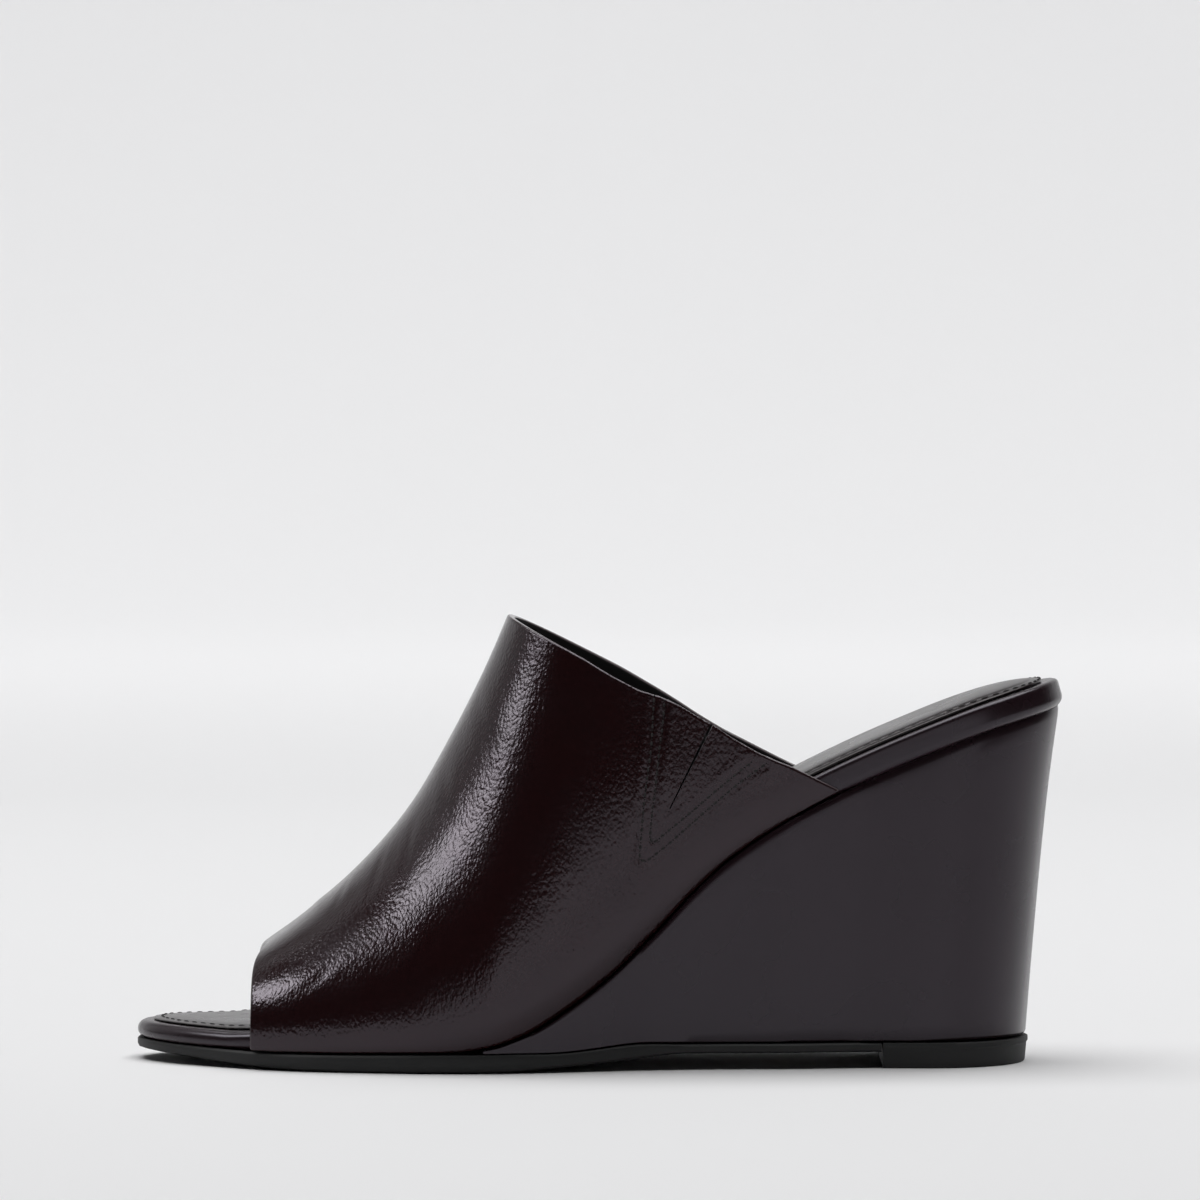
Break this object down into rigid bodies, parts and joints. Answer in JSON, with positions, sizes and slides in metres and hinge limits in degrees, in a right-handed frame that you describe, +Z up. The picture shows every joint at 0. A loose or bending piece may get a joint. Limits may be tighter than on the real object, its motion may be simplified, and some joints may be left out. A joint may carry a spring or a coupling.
{
  "type": "wedge mule sandal",
  "caption": "Open-toe wedge mule for a left foot: one closed leather vamp over a high covered wedge, to slip on the foot.",
  "frame": {"origin": "centre of the shoe's box at the floor", "axes": "+X toward the heel, -X toward the toe, -Y toward the outer side of the foot, +Z up"},
  "size_m": [0.2184, 0.083, 0.1048],
  "materials": {
    "leather": "polished oxblood, nearly black",
    "sock_leather": "satin oxblood",
    "rubber": "matt black",
    "elastic": "black woven elastic"
  },
  "bodies": {
    "root": {"outsole": "rubber", "heel_top_piece": "rubber", "wedge": "leather", "footbed": "leather", "insole": "sock_leather", "upper": "leather", "side_gore": "elastic"}
  },
  "joints": []
}
